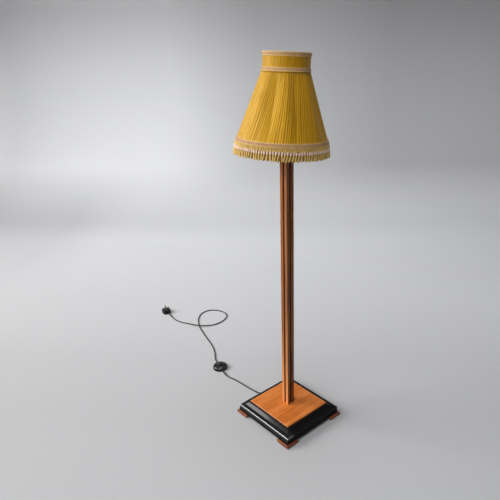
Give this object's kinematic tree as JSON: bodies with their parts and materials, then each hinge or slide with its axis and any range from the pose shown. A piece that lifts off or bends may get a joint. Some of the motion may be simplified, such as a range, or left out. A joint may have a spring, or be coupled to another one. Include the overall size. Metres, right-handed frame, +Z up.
{
  "type": "floor lamp",
  "caption": "Candlestick floor lamp: square grooved post on a stepped square plinth, pleated shade with fringe on a tilting gimbal, flex with foot switch and plug.",
  "frame": {"origin": "on the floor, at the centre of the square base under the post", "axes": "+Z up along the post; the sides of the base lie along X and Y; the flex leaves the base at the middle of its +Y side, which is the rear"},
  "size_m": [0.5547, 1.3649, 1.5007],
  "materials": {
    "walnut_veneer": "gloss",
    "mahogany": "satin",
    "ebonised_wood": "gloss",
    "softwood": "matte",
    "cast_iron": "matte",
    "brass": "satin",
    "zinc_steel": "satin",
    "brown_plastic": "gloss",
    "aluminium_cap": "satin",
    "opal_glass": "matte",
    "flex_rubber": "satin",
    "black_plastic": "gloss",
    "cream_plastic": "matte",
    "ceramic_fuse": "matte",
    "frame_wire": "gloss",
    "gold_silk": "satin",
    "cream_lining": "satin",
    "gold_braid": "satin",
    "gold_fringe": "satin"
  },
  "bodies": {
    "stand": {"foot_left_front": "mahogany", "foot_right_front": "mahogany", "foot_left_rear": "mahogany", "foot_right_rear": "mahogany", "foot_screws": "zinc_steel", "plinth_moulding": "ebonised_wood", "plinth_board": "softwood", "top_panel": "walnut_veneer", "ballast_plate": "cast_iron", "ballast_screws": "zinc_steel", "post_core": "ebonised_wood", "post_stave_left_front": "walnut_veneer", "post_stave_right_front": "walnut_veneer", "post_stave_left_rear": "walnut_veneer", "post_stave_right_rear": "walnut_veneer", "post_top_plate": "brass", "top_plate_screws": "brass", "threaded_nipple": "brass", "lampholder_cap": "brass", "lampholder_insulator": "brown_plastic", "lampholder_plungers": "brass", "lampholder_shell": "brass", "clamp_ring": "brass", "bulb_cap": "aluminium_cap", "bulb_glass": "opal_glass", "inner_flex": "flex_rubber", "cable_clips": "zinc_steel", "clip_screws": "zinc_steel", "outlet_sleeve": "flex_rubber", "cord_to_switch": "flex_rubber", "switch_dish": "black_plastic", "switch_dome": "black_plastic", "switch_block": "cream_plastic", "switch_spring": "zinc_steel", "switch_screws": "zinc_steel", "switch_sleeves": "flex_rubber", "cord_to_plug": "flex_rubber", "plug_cover": "black_plastic", "plug_plate": "black_plastic", "plug_power_pins": "brass", "plug_earth_pin": "brass", "plug_fuse": "ceramic_fuse", "plug_screw": "zinc_steel", "plug_sleeve": "flex_rubber"},
    "gimbal_arm": {"gimbal": "frame_wire"},
    "shade": {"gimbal_rivets": "zinc_steel", "shade_frame": "frame_wire", "neck_cover": "gold_silk", "skirt_cover": "gold_silk", "skirt_lining": "cream_lining", "top_braid": "gold_braid", "neck_braid": "gold_braid", "hem_braid": "gold_braid", "fringe": "gold_fringe"},
    "button": {"switch_button": "black_plastic"}
  },
  "joints": [
    {"name": "shade_swivel", "type": "hinge", "parent": "stand", "child": "gimbal_arm", "pos_m": [0, 0, 1.362], "axis": [0, 0, 1], "continuous": true},
    {"name": "shade_tilt", "type": "hinge", "parent": "gimbal_arm", "child": "shade", "pos_m": [0, 0, 1.44], "axis": [0.284, 0.9588, 0], "range_deg": [-24.3, 15.7]},
    {"name": "switch_press", "type": "slide", "parent": "stand", "child": "button", "axis": [0, 0, -1], "range_m": [0, 0.003], "stiffness_N_per_m": 300, "springref_m": -0.002, "deforming": ["switch_spring"]}
  ]
}
